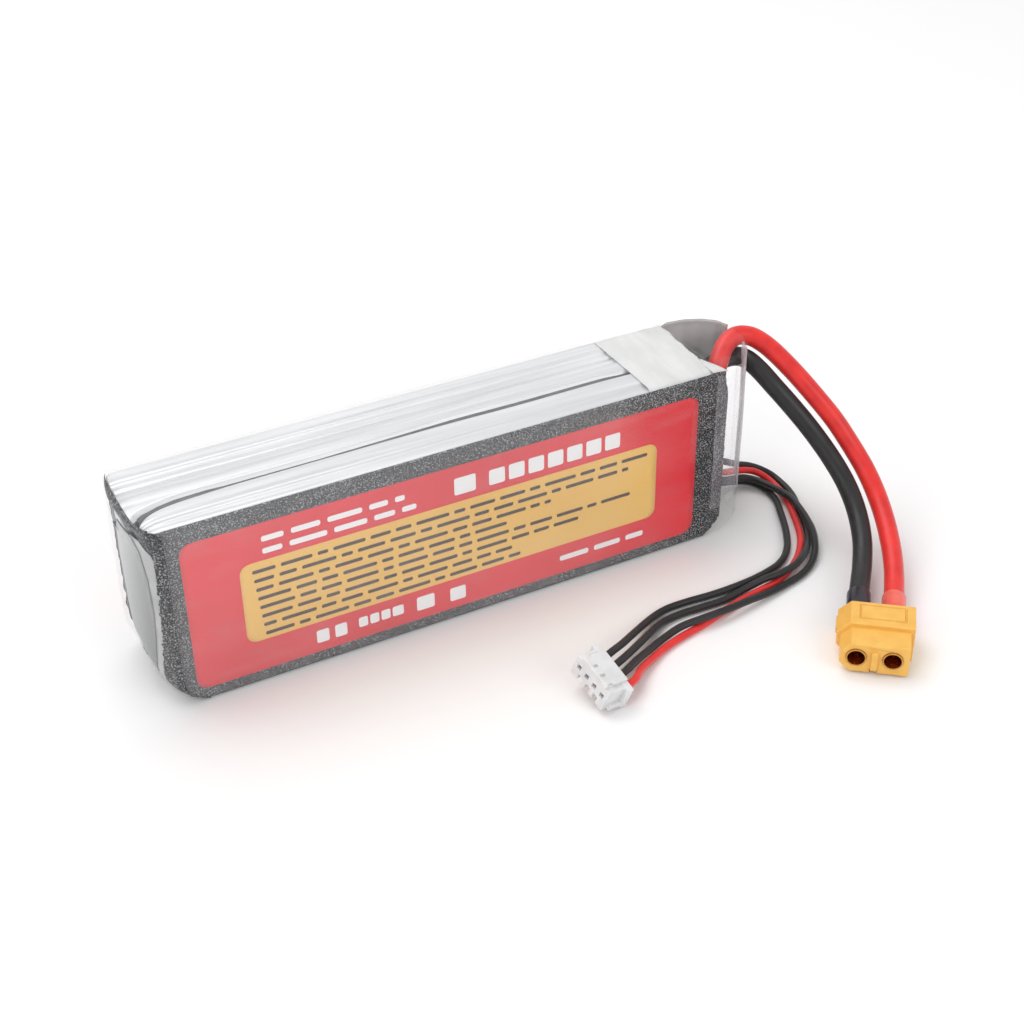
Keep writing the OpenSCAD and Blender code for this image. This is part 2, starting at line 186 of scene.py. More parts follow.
def plain(name, dark, light, size=0.001, rough=(0.35, 0.5), metal=0.0, bump_size=0.0004,
          bump_d=0.00002, stretch=(1, 1, 1), coat=0.0, coat_rough=0.1, detail=4, spec=0.5, sheen=0.0, sss=0.0):
    m, t, bs = new_mat(name)
    v = coords(t, stretch)
    f = noise_tex(t, v, 1 / size, detail)
    t.links.new(ramp(t, f, [(0.3, dark), (0.7, light)]), bs.inputs["Base Color"])
    t.links.new(maprange(t, f, 0.3, 0.7, *rough), bs.inputs["Roughness"])
    bs.inputs["Metallic"].default_value = metal
    bs.inputs["Specular IOR Level"].default_value = spec
    bs.inputs["Coat Weight"].default_value = coat
    bs.inputs["Coat Roughness"].default_value = coat_rough
    if sheen:
        bs.inputs["Sheen Weight"].default_value = sheen
    if sss:
        bs.inputs["Subsurface Weight"].default_value = sss
        bs.inputs["Subsurface Radius"].default_value = (0.001, 0.001, 0.001)
        bs.inputs["Subsurface Scale"].default_value = 1.0
    g = noise_tex(t, v, 1 / bump_size, 3)
    bump(t, bs, g, 0.6, bump_d)
    return m


def speckle_mat(name, lo, mid, hi, coat=0.3):
    """Dark printed film with fine pale grains under clear film."""
    m, t, bs = new_mat(name)
    v = coords(t)
    fine = noise_tex(t, v, 3200, 1, 0.6)
    broad = noise_tex(t, v, 160, 3)
    mixed = mathn(t, "ADD", mathn(t, "MULTIPLY", fine, 0.9), mathn(t, "MULTIPLY", broad, 0.1))
    col = ramp(t, mixed, [(0.40, lo), (0.53, mid), (0.67, hi)])
    t.links.new(col, bs.inputs["Base Color"])
    t.links.new(maprange(t, broad, 0.3, 0.7, 0.35, 0.55), bs.inputs["Roughness"])
    bs.inputs["Specular IOR Level"].default_value = 0.25
    bs.inputs["Coat Weight"].default_value = coat
    bs.inputs["Coat Roughness"].default_value = 0.12
    folds = noise_tex(t, coords(t, (0.5, 1, 1)), 60, 1, 0.4)
    n0 = bump(t, bs, folds, 0.25, 0.0003)
    bump(t, bs, fine, 0.2, 0.00001, n0)
    return m


def ink_mat(name, a, b, rough=0.3):
    """Printed ink under clear film, very slightly mottled."""
    m, t, bs = new_mat(name)
    v = coords(t)
    f = noise_tex(t, v, 1800, 3)
    g = noise_tex(t, v, 28, 2)
    mixed = mathn(t, "ADD", mathn(t, "MULTIPLY", f, 0.35), mathn(t, "MULTIPLY", g, 0.65))
    t.links.new(ramp(t, mixed, [(0.38, a), (0.62, b)]), bs.inputs["Base Color"])
    t.links.new(maprange(t, f, 0.3, 0.7, rough, rough + 0.12), bs.inputs["Roughness"])
    bs.inputs["Specular IOR Level"].default_value = 0.25
    bs.inputs["Coat Weight"].default_value = 0.3
    bs.inputs["Coat Roughness"].default_value = 0.1
    folds = noise_tex(t, coords(t, (0.5, 1, 1)), 60, 1, 0.4)
    bump(t, bs, folds, 0.25, 0.0003)
    return m


def film_mat(name, base_alpha, edge_alpha, tint=(0.93, 0.94, 0.97), streak=0.12, stretch=(0.25, 1, 1), scale=260,
             rough=(0.08, 0.22), painted_reflection=None):
    """Clear shrink film: nearly invisible face-on, pale at its folds and edges."""
    m, t, bs = new_mat(name)
    v = coords(t, stretch)
    f = noise_tex(t, v, scale, 3, 0.6, 0.4)
    t.links.new(ramp(t, f, [(0.3, tuple(c * 0.93 for c in tint)), (0.7, tint)]), bs.inputs["Base Color"])
    t.links.new(maprange(t, f, 0.3, 0.7, *rough), bs.inputs["Roughness"])
    lw = t.nodes.new("ShaderNodeLayerWeight")
    lw.inputs["Blend"].default_value = 0.35
    edge = mathn(t, "MULTIPLY", mathn(t, "POWER", lw.outputs["Facing"], 3.0), edge_alpha)
    st = mathn(t, "MULTIPLY", maprange(t, f, 0.52, 0.72, 0.0, 1.0), streak)
    al = mathn(t, "ADD", mathn(t, "ADD", edge, st), base_alpha)
    # whitish veil over the film up to x = 30 mm, fading out by x = 52 mm: painted reflection of the lamps on the label
    # beneath
    if painted_reflection:
        sep = t.nodes.new("ShaderNodeSeparateXYZ")
        t.links.new(coords(t), sep.inputs[0])
        wave = mathn(t, "MULTIPLY", mathn(t, "SUBTRACT", noise_tex(t, coords(t), 45, 2), 0.5), 0.02)
        along = mathn(t, "ADD", sep.outputs[0], wave)
        al = mathn(t, "ADD", al, maprange(t, along, painted_reflection[0], painted_reflection[1], painted_reflection[2], 0.0))
    al = mathn(t, "MINIMUM", al, 0.95)
    t.links.new(al, bs.inputs["Alpha"])
    bs.inputs["IOR"].default_value = 1.5
    bump(t, bs, f, 0.5, 0.0003)
    return m


MAT = {
    "red_lead": plain("silicone_red", (0.66, 0.012, 0.012), (0.83, 0.025, 0.018), 0.004, (0.32, 0.45), bump_size=0.0012, bump_d=0.000015, sheen=0.15),
    "black_lead": plain("silicone_black", (0.006, 0.006, 0.007), (0.014, 0.014, 0.016), 0.004, (0.34, 0.5), bump_size=0.0012, bump_d=0.000015, sheen=0.1),
    "red_shrink": plain("shrink_red", (0.80, 0.10, 0.075), (0.92, 0.17, 0.12), 0.003, (0.3, 0.42), bump_size=0.0015, bump_d=0.00004),
    "black_shrink": plain("shrink_black", (0.012, 0.013, 0.02), (0.03, 0.032, 0.045), 0.003, (0.28, 0.42), bump_size=0.0015, bump_d=0.00004),
    "yellow": plain("nylon_yellow", (0.84, 0.46, 0.085), (0.90, 0.52, 0.115), 0.003, (0.36, 0.48), bump_size=0.0005, bump_d=0.00001, sss=0.12),
    "white_nylon": plain("nylon_white", (0.68, 0.68, 0.685), (0.78, 0.78, 0.785), 0.003, (0.3, 0.42), bump_size=0.0006, bump_d=0.00001, sss=0.35),
    "gold": plain("gold_plate", (0.50, 0.24, 0.06), (0.66, 0.36, 0.11), 0.001, (0.16, 0.28), 1.0, 0.0003, 0.000006),
    "tin": plain("tin_plate", (0.62, 0.62, 0.64), (0.78, 0.78, 0.8), 0.001, (0.25, 0.4), 1.0, 0.0003, 0.000006),
    "copper": plain("tinned_strand", (0.55, 0.28, 0.14), (0.85, 0.55, 0.35), 0.0006, (0.3, 0.45), 1.0, 0.0003, 0.00004),
    "pad": plain("grey_foam", (0.30, 0.30, 0.305), (0.44, 0.44, 0.45), 0.009, (0.5, 0.62), bump_size=0.0005, bump_d=0.00002, detail=2),
    "tape": plain("crepe_tape", (0.62, 0.618, 0.612), (0.75, 0.748, 0.742), 0.0035, (0.6, 0.75), bump_size=0.0006, bump_d=0.00004, stretch=(1.0, 0.3, 0.3), spec=0.2),
    "board": plain("laminate_green", (0.02, 0.16, 0.07), (0.04, 0.24, 0.11), 0.004, (0.3, 0.45)),
    "paper": plain("pressed_paper", (0.52, 0.42, 0.26), (0.66, 0.55, 0.36), 0.0012, (0.7, 0.85)),
    "electrode": plain("stack_grey", (0.05, 0.05, 0.055), (0.12, 0.12, 0.13), 0.002, (0.5, 0.7)),
    "foam": plain("gap_foam", (0.8, 0.8, 0.78), (0.92, 0.92, 0.9), 0.001, (0.7, 0.85)),
    "seal": plain("seal_film", (0.78, 0.78, 0.74), (0.9, 0.9, 0.86), 0.001, (0.4, 0.5)),
    "alu_tab": plain("tab_bare", (0.68, 0.69, 0.70), (0.84, 0.85, 0.86), 0.0008, (0.25, 0.4), 1.0, stretch=(0.2, 1, 1)),
    "nickel": plain("tab_nickel", (0.55, 0.52, 0.47), (0.72, 0.69, 0.64), 0.0008, (0.25, 0.4), 1.0, stretch=(0.2, 1, 1)),
    "solder": plain("solder_tin", (0.6, 0.6, 0.62), (0.8, 0.8, 0.82), 0.0007, (0.2, 0.35), 1.0),
}


def foil_mat():
    m, t, bs = new_mat("pouch_foil")
    v = coords(t, (0.035, 1, 0.35))
    f = noise_tex(t, v, 520, 4, 0.55)
    g = noise_tex(t, coords(t, (0.3, 1, 0.6)), 120, 3)
    t.links.new(ramp(t, f, [(0.3, (0.66, 0.665, 0.672)), (0.55, (0.80, 0.803, 0.81)), (0.75, (0.93, 0.93, 0.935))]), bs.inputs["Base Color"])
    t.links.new(maprange(t, f, 0.3, 0.7, 0.28, 0.46), bs.inputs["Roughness"])
    bs.inputs["Metallic"].default_value = 0.35
    bs.inputs["Coat Weight"].default_value = 0.6
    bs.inputs["Coat Roughness"].default_value = 0.15
    n0 = bump(t, bs, g, 0.4, 0.0005)
    bump(t, bs, f, 0.5, 0.0002, n0)
    return m


MAT["foil"] = foil_mat()
MAT["speckle"] = speckle_mat("label_speckle", (0.002, 0.002, 0.003), (0.018, 0.019, 0.021), (0.40, 0.41, 0.42))
MAT["label_inner"] = plain("label_inner_grey", (0.62, 0.63, 0.64), (0.76, 0.77, 0.78), 0.012, (0.28, 0.42), bump_size=0.004, bump_d=0.0002, detail=2, coat=0.8)


def window_mat():
    """Smooth grey inner sheet seen through the plain end, with painted shade: darker towards the front corner and
    towards the bottom.
    """
    m, t, bs = new_mat("end_sheet_grey")
    sep = t.nodes.new("ShaderNodeSeparateXYZ")
    t.links.new(coords(t), sep.inputs[0])
    # painted shade: lighter towards the back and the top, darker towards the front corner and the bottom
    painted_shade = mathn(t, "ADD", maprange(t, sep.outputs[1], -0.0105, 0.002, 0.0, 0.55), maprange(t, sep.outputs[2], 0.008, 0.038, 0.0, 0.45))
    grain = noise_tex(t, coords(t), 900, 3)
    f = mathn(t, "ADD", painted_shade, mathn(t, "MULTIPLY", mathn(t, "SUBTRACT", grain, 0.5), 0.12))
    t.links.new(ramp(t, f, [(0.0, (0.20, 0.20, 0.205)), (0.5, (0.36, 0.365, 0.37)), (1.0, (0.60, 0.605, 0.61))]), bs.inputs["Base Color"])
    t.links.new(maprange(t, grain, 0.3, 0.7, 0.30, 0.42), bs.inputs["Roughness"])
    bump(t, bs, noise_tex(t, coords(t), 120, 2), 0.2, 0.0001)
    return m


MAT["end_sheet"] = window_mat()
MAT["red_ink"] = ink_mat("ink_red", (0.69, 0.010, 0.020), (0.81, 0.018, 0.032))
MAT["yellow_ink"] = ink_mat("ink_yellow", (0.82, 0.48, 0.085), (0.90, 0.56, 0.13))
MAT["white_ink"] = ink_mat("ink_white", (0.88, 0.87, 0.87), (0.95, 0.94, 0.94))
MAT["dark_ink"] = ink_mat("ink_dark", (0.045, 0.018, 0.008), (0.075, 0.03, 0.014))
# the main film carries a whitish veil towards the plain end: painted reflection on the label
MAT["film"] = film_mat("clear_film", 0.008, 0.08, streak=0.02, painted_reflection=(0.030, 0.052, 0.064))
MAT["film_end"] = film_mat("clear_film_folds", 0.07, 0.42, (0.86, 0.84, 0.90), 0.10, (1, 1, 0.05), 420, (0.1, 0.25))
MAT["film_lip"] = film_mat("clear_film_lip", 0.50, 0.25, (0.90, 0.88, 0.94), 0.25, (1, 1, 0.05), 420, (0.12, 0.25))
MAT["film_wall"] = film_mat("clear_film_end_wall", 0.025, 0.10, (0.80, 0.80, 0.81), 0.03, (1, 1, 0.2), 200, (0.15, 0.3))


def paint(o, key):
    o.data.materials.clear()
    o.data.materials.append(MAT[key])


# ------------------------------------------------------------------ cords
POSITIVE = [[61.5, -4, 28], [61.5, -4, 31], [62.1, -3.2, 34.4], [63.9, -1.5, 37.3], [66.8, 0.5, 39.5],
            [70, 1.4, 40.4], [72.9, 0.5, 40.1], [74.8, -1.4, 39.1], [76.6, -4.3, 37.3], [78.9, -8.7, 34], [81.5, -13, 29.8],
            [84.3, -17.4, 24.9], [86.3, -21.6, 20], [87.3, -26.2, 15.8], [87, -31.2, 12.2], [85.2, -37.2, 9.2],
            [82.3, -43.4, 6.8], [79, -48.8, 5.1], [75, -54.1, 4.1], [70.6, -59.6, 4.05]]
NEGATIVE = [[61.5, 4.6, 22], [61.5, 4.6, 25.5], [62.6, 4.4, 29.4], [65.2, 3.6, 32.9], [68.4, 1.6, 35.4],
            [70.6, -1.2, 36.1], [72, -4.8, 34.8], [74, -8.6, 31.6], [76.8, -12.4, 27.3], [79.5, -16.5, 22.6],
            [81.4, -21.5, 17.9], [82.3, -26.4, 13.6], [81.5, -31.8, 9.9], [78.8, -37.8, 6.9], [74.6, -43.6, 4.9],
            [69.6, -49.4, 4.1], [65, -55.1, 4.05]]
GROUND = [[60.6, 2.6, 8.5], [62.2, 2.6, 6.2], [65, 2.4, 3.4], [68.5, 2, 1.9], [72, 1.6, 1.3], [74.8, 0.8, 1.1], [76.7, -1.2, 0.95], [77.5, -4.4, 0.85],
          [77, -8.8, 0.85], [75.2, -13.1, 0.85], [73.3, -17.3, 0.85], [71.2, -21.3, 0.85], [68.8, -25, 0.85], [66, -28, 0.85],
          [62.8, -30, 0.85], [59.4, -31, 0.85], [55, -31.8, 0.85], [49.4, -32.2, 0.85], [44, -32.2, 0.85], [38.6, -31.8, 0.85],
          [33.4, -31.8, 0.85], [28.8, -33.3, 1.2], [23, -36.8, 2.5], [17.2, -40.8, 4.2], [13, -43.4, 5.4], [10.2, -44.9, 5.8], [8.4, -45.3, 5.8]]
ONE = [[60.6, 5.4, 13.2], [62.4, 5.2, 11.6], [65, 4.4, 9.6], [68, 3.5, 7.8], [71, 2.9, 6.4], [74, 2.8, 4.9], [77, 2.5, 3.8], [79.6, 1.5, 2.6],
       [81.4, -0.4, 1.6], [82.1, -3, 0.95], [82, -6.2, 0.85], [81.2, -9.8, 0.85], [79.6, -14, 0.85], [77.9, -18.5, 0.85],
       [75.7, -23, 0.85], [72.8, -27.1, 1.3], [69, -30.8, 2.1], [64.8, -33.5, 2.5], [60.2, -34.6, 2.5], [56, -34.5, 2.3],
       [51.3, -34.3, 1.3], [45.8, -35, 0.85], [40.3, -34.9, 0.85], [35, -34.7, 0.85], [29.8, -35.6, 1.1], [24, -39, 2.1], [18.4, -42.8, 3.5], [13.4, -46, 4.7], [10.6, -47.3, 5], [8.8, -47.6, 5]]
TWO = [[60.6, -0.4, 10.5], [62.6, -0.4, 7.8], [65.6, 0, 5.2], [68.8, 0.4, 3.6], [71.6, 0.5, 3], [74, 0, 2.8], [75.8, -1.5, 2.6], [76.9, -3.6, 2.5],
       [77.7, -6, 2.5], [78.5, -8.6, 2.5], [78.9, -11.4, 2.5], [78.6, -14.4, 2.5], [77.9, -17.8, 2.5], [77, -21, 2.5],
       [75.8, -24.4, 2.5], [74.1, -27.7, 2.3], [71.9, -30.9, 1.6], [69.1, -33.4, 1], [65.2, -35.4, 0.85], [60.4, -36.7, 0.95],
       [55, -37.9, 1.3], [48.8, -38.9, 2], [43, -39.7, 2.4], [37.2, -39.9, 2.5], [31.8, -39.7, 2.1], [26.4, -41, 1.7], [21.6, -43.4, 2.3], [17.4, -45.8, 3.2], [13.8, -48.2, 4], [11, -49.6, 4.3], [9.2, -49.9, 4.3]]
POSW = [[60.6, -3.4, 14], [62.4, -3, 11], [65.2, -1.6, 8.2], [68.4, 0, 6], [71.6, 1.1, 4.7], [75.2, 1.2, 3.8], [77.8, 0.4, 2.9], [79.6, -1.4, 1.7],
        [80.2, -4, 0.95], [79.9, -7.4, 0.85], [78.8, -11.4, 0.85], [77, -15.9, 0.85], [75.2, -20.1, 0.85], [73, -24.1, 0.85], [70.4, -27.5, 0.85],
        [67.6, -30.2, 0.85], [63.8, -32.8, 0.85], [58.8, -35, 0.85], [53.8, -35.9, 0.85], [48.4, -36.9, 0.85], [43, -38.3, 0.85],
        [37, -40, 0.85], [31, -41.3, 0.85], [25.6, -43, 0.95], [20.6, -45.6, 1.6], [17, -48, 2.4], [14.2, -50.6, 3.1], [11.6, -51.9, 3.5], [9.6, -52.3, 3.5]]


def make_cord(name, pts, dia, key, node):
    P = catmull(pts, 6)
    cu = bpy.data.curves.new(name, "CURVE")
    cu.dimensions = "3D"
    cu.bevel_depth = dia / 2 * MM
    cu.bevel_resolution = 6
    cu.use_fill_caps = True
    sp = cu.splines.new("POLY")
    sp.points.add(len(P) - 1)
    for p, q in zip(sp.points, P):
        p.co = (q[0] * MM, q[1] * MM, q[2] * MM, 1)
    sp.use_smooth = True
    o = link(bpy.data.objects.new(name, cu))
    o.data.materials.append(MAT[key])
    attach(o, "root")
    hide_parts(node)
    return o


PLUG = ["power_connector_housing"]
BAL = ["balance_connector_housing"]
make_cord("red_power_lead", POSITIVE, 4.3, "red_lead", "positive_lead")
make_cord("black_power_lead", NEGATIVE, 4.3, "black_lead", "negative_lead")
make_cord("balance_wire_black_a", GROUND, 1.6, "black_lead", "balance_wire_ground")
make_cord("balance_wire_black_b", ONE, 1.6, "black_lead", "balance_wire_cell_one")
make_cord("balance_wire_black_c", TWO, 1.6, "black_lead", "balance_wire_cell_two")
make_cord("balance_wire_red", POSW, 1.6, "red_lead", "balance_wire_positive")

# ------------------------------------------------------------------ pack form
W, H = 12.9, 42.6
LEFT = [[-60, -12.9], [-63, -12.9], [-65.6, -12.85], [-67.5, -12.2], [-69.2, -10.4], [-70.3, -7], [-70.8, -3.6], [-71, 0],
        [-71, 3], [-70.7, 6.6], [-70.1, 9.6], [-69.2, 11.6], [-67.4, 12.7], [-64, 12.9], [-60, 12.9]]
LEFT_C = catmull(LEFT, 6)
LY = [max(-W, min(W, p[1])) for p in LEFT_C]
SIDE_Z = [0, 0.12, 0.5, 1.7, 3.8, 6.4, 9.6, 13, 20, 39.5, 40.8, 41.6, 42.1, 42.45, 42.6]
SIDE_X = [-58.6, -60.6, -62.4, -65.2, -67.6, -69.3, -70.4, -70.9, -71, -71, -70.95, -70.75, -70.3, -69.6, -68.8]


def dplan(y):
    """Depth of the end wall behind x = -71 at y, from the plan outline."""
    y = max(-12.84, min(12.84, y))
    for a, b in zip(LEFT_C, LEFT_C[1:]):
        if (a[1] - y) * (b[1] - y) <= 0 and a[1] != b[1] and a[0] < -64:
            return a[0] + (b[0] - a[0]) * (y - a[1]) / (b[1] - a[1]) + 71
    return 5.4


def xe(y, z, g=0.0):
    dp = max(0.0, dplan(y))
    ds = max(0.0, interp(z, SIDE_Z, SIDE_X) + 71)
    p = 2.6
    return -71 + (dp ** p + ds ** p) ** (1 / p) + g


def rrect(w0, w1, z0, z1, r, n=(40, 24, 40, 24)):
    """Closed outline in (y, z): front side going down, bottom, back going up, top. Rounded corners."""
    r = min(r, (w1 - w0) / 2 - 0.01, (z1 - z0) / 2 - 0.01)
    out = []

    def arc(cy, cz, a0, k=5):
        for i in range(k):
            a = math.radians(a0 + 90 * (i + 0.5) / k)
            out.append((cy + r * math.cos(a), cz + r * math.sin(a)))

    def line(a, b, k):
        for i in range(k):
            t = (i + 0.5) / k
            out.append((a[0] + (b[0] - a[0]) * t, a[1] + (b[1] - a[1]) * t))
    line((w0, z1 - r), (w0, z0 + r), n[0])
    arc(w0 + r, z0 + r, 180)
    line((w0 + r, z0), (w1 - r, z0), n[1])
    arc(w1 - r, z0 + r, 270)
    line((w1, z0 + r), (w1, z1 - r), n[2])
    arc(w1 - r, z1 - r, 0)
    line((w1 - r, z1), (w0 + r, z1), n[3])
    arc(w0 + r, z1 - r, 90)
    return out


# plan of the gathered end: front and back y at a station x
FRONT_X = [55, 57.4, 60, 63.4, 67.4, 69.6, 71]
FRONT_Y = [-12.9, -12.85, -12.4, -10.8, -7.8, -5.2, -0.9]
BACK_X = [56, 58.5, 62.4, 66, 69, 70.6, 71]
BACK_Y = [12.9, 12.85, 12.3, 10.6, 8, 6, 4.9]


def yf(x):
    return interp(x, FRONT_X, FRONT_Y)


def yb(x):
    return interp(x, BACK_X, BACK_Y)


def pleat(x, z, s):
    """Inward depth of the gathers at the lead end."""
    k = sstep(56.5, 62, x)
    a = 0.5 * math.sin(x * 2.3 + 0.05 * z + s) + 0.35 * math.sin(x * 4.1 - 0.09 * z + 2 * s) + 0.8 * nz(x * 0.35, s * 3.1, z * 0.06)
    return k * 0.45 * (1 + a)


def loft(name, rings, closed=True, cap=None):
    n = len(rings[0])
    verts = [p for r in rings for p in r]
    faces = []
    for i in range(len(rings) - 1):
        for j in range(n if closed else n - 1):
            a, b = i * n + j, i * n + (j + 1) % n
            faces.append((a, a + n, b + n, b))
    return mesh_obj(name, verts, faces)


def thicken(o, t, offset=-1):
    m = o.modifiers.new("thickness", "SOLIDIFY")
    m.thickness = t * MM
    m.offset = offset
    m.use_even_offset = False
    return m


# ---- clear sleeve: end wall with its D opening, then the tube, then the gathered end
FULL = rrect(-W, W, 0, H, 1.8)
DEE = rrect(-10.2, 7.8, 6.4, 37.2, 6.5)


def dee_pt(p):
    """D outline: flat towards the front, bowed towards the back."""
    y, z = p
    return (y - 1.2 * ((z - 21.8) / 15.4) ** 2 * (1 if y > 0 else -1.6), z)


DEE = [dee_pt(p) for p in DEE]
rings = []
for t, g in ((1.0, 1.0), (1.0, 0.25), (0.985, 0.05), (0.9, 0), (0.75, 0), (0.6, 0), (0.45, 0), (0.32, 0), (0.22, 0), (0.15, 0), (0.1, 0), (0.06, 0), (0.03, 0), (0.012, 0), (0, 0)):
    ring = []
    for (y0, z0), (y1, z1) in zip(FULL, DEE):
        y, z = y0 + (y1 - y0) * t, z0 + (z1 - z0) * t
        wob = 0.12 * nz(y * 0.25, z * 0.18, 3.0) if t < 0.95 else 0.0
        ring.append((xe(y, z) + g + max(0, wob) * sstep(0, 0.2, t), y, z))
    rings.append(ring)
wall_rings = rings
tube = [[p for p in rings[-1]]]
for f in (0.15, 0.4, 0.7, 1.0):
    tube.append([(p[0] + (-52 - p[0]) * f, p[1], p[2]) for p in rings[-1]])
for k in range(1, 55):
    x = -52 + 2 * k
    ring = []
    for y, z in FULL:
        d = 0.10 * nz(x * 0.03, y * 0.5, z * 0.4, 1) + 0.06 * nz(x * 0.1, y * 0.9, z * 0.9, 2)
        d = max(0.0, d + 0.03)
        cy, cz = -y / W, -(z - H / 2) / (H / 2)
        ring.append((x, y + d * cy * (abs(y) > 11.5), z + d * cz * (z > 41 or z < 1)))
    tube.append(ring)
tube_end = tube[-1]
o = loft("sleeve_end_wall", wall_rings)
paint(o, "film_wall")
thicken(o, 0.22)
sleeve_wall = o
o = loft("sleeve_body", tube)
paint(o, "film")
thicken(o, 0.2)
sleeve_body = o

# gathered end
gath = [tube_end]
xs = [57, 57.8, 58.6, 59.4, 60.2, 61, 61.8, 62.6, 63.4, 64.2, 65, 65.8, 66.6, 67.4, 68.1, 68.8, 69.4, 69.9, 70.3, 70.6, 70.85, 71]
for x in xs:
    top = H - 1.1 * sstep(69.6, 71, x) - 0.5 * sstep(57, 62, x) * (1 - sstep(63, 68, x))
    bot = 2.3 * sstep(66.5, 71, x)
    a, b = yf(x), yb(x)
    ring = []
    sec = rrect(a, b, bot, top, 1.8)
    for y, z in sec:
        mid = (a + b) / 2
        side = 1 if y < mid else -1
        edge = sstep(0, 2.5, min(z - bot, top - z) + 0.6)
        d = pleat(x, z, 0.7 if side > 0 else 4.2) * edge * sstep(0, 1.2, abs(y - mid))
        # film drawn down a little on top between the cells and the lead
        dz = 0.0
        if z > top - 0.5:
            dz = -0.7 * sstep(57, 60, x) * (1 - sstep(62, 66, x)) * (1 - abs(y - mid) / ((b - a) / 2 + 0.01)) ** 0.7 - 0.25 * abs(nz(x * 0.5, y * 0.5, 7))
        ring.append((x if x < 65 else 65 + (x - 65) * 0.77, y + side * d, z + dz))
    gath.append(ring)
o = loft("sleeve_gathered_end", gath)
paint(o, "film_end")
thicken(o, 0.18)
sleeve_end = o
me = sleeve_end.data
me.materials.append(MAT["film"])
me.materials.append(MAT["film_lip"])
for p in me.polygons:
    c = p.center / MM
    if c.z > 41.2 and c.x < 69.0:
        p.material_index = 1
    elif c.z < 7:
        p.material_index = 1
    elif c.x > 69.1:
        p.material_index = 1
    elif c.y < 1.5 and c.x > 66.0 and c.z > 3:
        p.material_index = 2
for s in (sleeve_wall, sleeve_body, sleeve_end):
    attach(s, "root")
    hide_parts("outer_sleeve")

# ------------------------------------------------------------------ labels


ARC = [p for p in LEFT_C if p[1] < 12.9][:]
ARC = [p for p in LEFT_C if p[0] <= -65.55]
ARC_S = [0.0]
for a, b in zip(ARC, ARC[1:]):
    ARC_S.append(ARC_S[-1] + math.dist(a, b))


def arc_y(s):
    """y on the end wall, s mm round from the front corner."""
    return interp(s, ARC_S, [max(-12.84, min(12.84, p[1])) for p in ARC])


def front_point(u, z, g):
    """u >= 0 along the front from the left corner; u < 0 round on to the end wall (mm in y)."""
    r = 1.8
    d = 0.0
    if z > H - r:
        d = r - math.sqrt(max(0.0, r * r - (z - (H - r)) ** 2))
    if z < 1.0:
        d = 1.0 - math.sqrt(max(0.0, 1.0 - (1.0 - z) ** 2))
    zz = z
    if u < 0:
        y = arc_y(-u)
        return (xe(y, z) + g, y + d * sstep(-8, -12.8, y), zz)
    x0 = xe(-12.84, z)
    x = x0 + u
    y = -W + g + d
    if x > 56.2:
        k = sstep(56.2, 58.2, x)
        y = max(y, yf(x) + g + k * (0.45 + 0.3 * math.sin(x * 4.6 + 0.06 * z) + 0.25 * nz(x, z * 0.08, 6)))
    return (x, y, zz)


def label_grid(name, key, side=1):
    zs = [0.35 + (41.75 - 0.35) * i / 120 for i in range(121)]
    verts, faces, rows = [], [], []
    for z in zs:
        jag = interp(z, (0, 5.4, 9, 11.8, 16.9, 26.6, 35.3, 38, 40.4, 42), (4.6, 4.9, 4.3, 3.9, 3.3, 2.8, 2.6, 3.3, 6.5, 9.0))
        jag += 0.5 * nz(z * 0.8, 1, side) + 0.35 * nz(z * 2.3, 4, side) + 0.2 * nz(z * 6.1, 9, side)
        x1 = 59.4 - 0.7 * sstep(34, 42, z) + 0.15 * nz(z * 0.8, 2, 2) - 4.5 * (1 - sstep(0.4, 4.0, z))
        x0 = xe(-12.84, z)
        us = [-jag * (1 - i / 18) for i in range(18)] + [(x1 - x0) * (i / 70) for i in range(71)]
        row = []
        for u in us:
            p = front_point(u, z, 0.34)
            if side < 0:
                p = (p[0], -p[1], p[2])
            row.append(len(verts))
            verts.append(p)
        rows.append(row)
    for a, b in zip(rows, rows[1:]):
        for j in range(len(a) - 1):
            q = (a[j], a[j + 1], b[j + 1], b[j])
            faces.append(q if side > 0 else q[::-1])
    o = mesh_obj(name, verts, faces)
    paint(o, key)
    thicken(o, 0.12)
    return o


front_lab = label_grid("front_label_print", "speckle")
# narrow printed rim round the top of the plain end
rv, rf = [], []
RN = 90
for i in range(RN + 1):
    s = 3.0 + (ARC_S[-1] - 4.2 - 3.0) * i / RN
    y = arc_y(s)
    low = 40.75 - 0.5 * sstep(11, 3, s) + 0.18 * nz(s * 1.4, 2, 4) + 0.1 * nz(s * 4, 7, 4)
    for z in (low, (low + 41.9) / 2, 41.9, 42.25):
        rv.append((xe(y, z) + 0.33, y, z))
for i in range(RN):
    for k in range(3):
        a = i * 4 + k
        rf.append((a, a + 1, a + 5, a + 4))
rim = mesh_obj("front_label_end_rim", rv, rf)
paint(rim, "speckle")
thicken(rim, 0.1)
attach(rim, "root")
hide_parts("front_label")
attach(front_lab, "root")
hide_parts("front_label")

# inner sheet showing through the plain end: rounded leaf with painted shade, edged by a black sheet whose thin dark rim
# is painted shade at the opening's edge
WZ = (6.2, 8, 9.8, 12.5, 16, 22.4, 30.6, 36.5, 38.9)
W_REAR = (-6.9, -5.4, -3.4, 0.2, 1.3, 1.5, 1.9, 1.2, -0.4)
W_FRONT = (-7.1, -8.2, -8.9, -9.5, -10.0, -10.5, -10.3, -9.0, -6.6)


